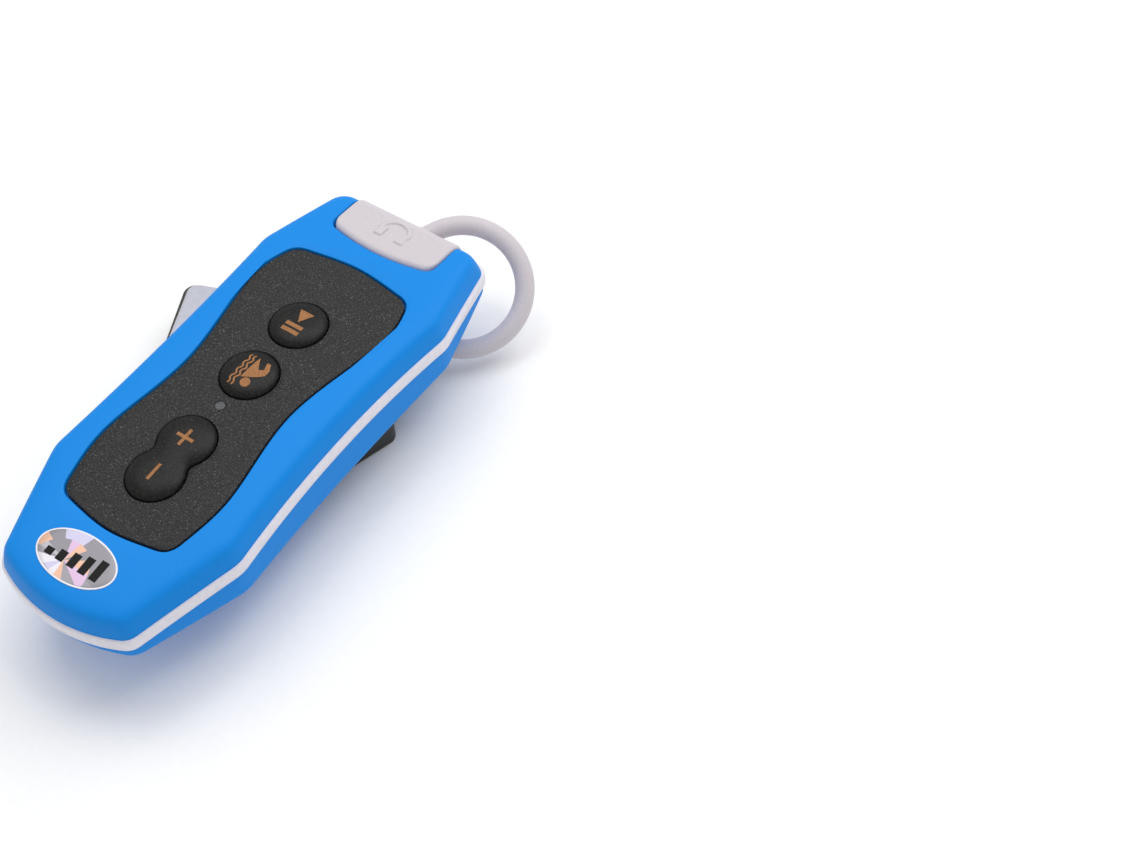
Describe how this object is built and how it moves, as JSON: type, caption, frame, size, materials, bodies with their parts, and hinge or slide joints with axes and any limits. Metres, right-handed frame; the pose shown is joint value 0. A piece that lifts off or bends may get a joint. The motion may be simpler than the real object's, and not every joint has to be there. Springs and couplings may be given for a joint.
{
  "type": "digital audio player",
  "caption": "Clip-on waterproof digital audio player: waisted body, press keys and volume rocker, tethered jack cover, swivelling spring clip.",
  "frame": {"origin": "on the body's centre line, half way along the body, at the level of the clip arm's back face, which the player rests on", "axes": "+Z out of the face with the buttons, +Y towards the headphone jack, +X to the right seen from the face"},
  "size_m": [0.0467, 0.0869, 0.0207],
  "materials": {
    "blue_shell": "soft-touch rubberised",
    "gasket_white": "glossy",
    "face_black": "fine sparkle texture",
    "key_black": "smooth matte",
    "membrane_silicone": "matte",
    "sticker_foil": "holographic foil",
    "cover_silicone": "matte silicone",
    "lens_clear": "clear",
    "led_epoxy": "glossy",
    "board_green": "solder mask",
    "chip_epoxy": "moulded epoxy",
    "can_steel": "brushed",
    "switch_steel": "plain",
    "passive_ceramic": "ceramic",
    "pouch_foil": "laminated foil",
    "tape_black": "adhesive tape",
    "lead_red": "PVC",
    "lead_black": "PVC",
    "jack_black": "moulded",
    "contact_gold": "gold flash",
    "screw_steel": "plated",
    "insert_brass": "turned",
    "washer_nylon": "smooth",
    "clip_black": "fine spark texture",
    "tab_white": "satin",
    "spring_steel": "drawn wire",
    "pad_rubber": "ribbed"
  },
  "bodies": {
    "player_body": {"front_shell": "blue_shell", "back_shell": "blue_shell", "seam_gasket": "gasket_white", "shell_screws": "screw_steel", "face_plate": "face_black", "function_sticker": "sticker_foil", "keypad_membrane": "membrane_silicone", "led_lens": "lens_clear", "status_led": "led_epoxy", "main_board": "board_green", "play_switch": "switch_steel", "mode_switch": "switch_steel", "volume_up_switch": "switch_steel", "volume_down_switch": "switch_steel", "memory_chip": "chip_epoxy", "processor_chip": "chip_epoxy", "radio_chip": "chip_epoxy", "crystal": "can_steel", "board_passives": "passive_ceramic", "battery_cell": "pouch_foil", "battery_tape": "tape_black", "battery_lead_positive": "lead_red", "battery_lead_negative": "lead_black", "jack_socket": "jack_black", "jack_contacts": "contact_gold", "tether_anchor": "cover_silicone", "swivel_insert": "insert_brass", "swivel_washer": "washer_nylon", "swivel_screw": "screw_steel"},
    "play_key": {"play_button": "key_black"},
    "mode_key": {"mode_button": "key_black"},
    "volume_key": {"volume_rocker": "key_black"},
    "plug_body": {"jack_cover": "cover_silicone", "jack_plug": "jack_black", "plug_seal": "cover_silicone", "cover_tether": "cover_silicone"},
    "clip_base_body": {"clip_base": "clip_black", "tab_cover": "tab_white", "clip_pin": "screw_steel", "clip_spring": "spring_steel"},
    "clip_arm_body": {"clip_arm": "clip_black", "jaw_pad": "pad_rubber"}
  },
  "joints": [
    {"name": "play_press", "type": "slide", "parent": "player_body", "child": "play_key", "axis": [0, 0, -1], "range_m": [0, 0.00035], "stiffness_N_per_m": 400, "springref_m": -0.0006},
    {"name": "mode_press", "type": "slide", "parent": "player_body", "child": "mode_key", "axis": [0, 0, -1], "range_m": [0, 0.00035], "stiffness_N_per_m": 400, "springref_m": -0.0006},
    {"name": "volume_rock", "type": "hinge", "parent": "player_body", "child": "volume_key", "pos_m": [0, -0.0137, 0.01743], "axis": [1, 0, 0], "range_deg": [-2.5, 2.5], "stiffness_Nm_per_rad": 0.02},
    {"name": "plug_pull", "type": "slide", "parent": "player_body", "child": "plug_body", "axis": [0, 1, 0], "range_m": [0, 0.014], "deforming": ["cover_tether"]},
    {"name": "clip_swivel", "type": "hinge", "parent": "player_body", "child": "clip_base_body", "pos_m": [0, 0.005, 0.0063], "axis": [0, 0, 1], "range_deg": [-45, 180]},
    {"name": "clip_open", "type": "hinge", "parent": "clip_base_body", "child": "clip_arm_body", "pos_m": [-0.007, 0.009, 0.0033], "axis": [0, 1, 0], "range_deg": [0, 9], "stiffness_Nm_per_rad": 0.15, "springref_deg": -28.65, "deforming": ["clip_spring"]}
  ]
}
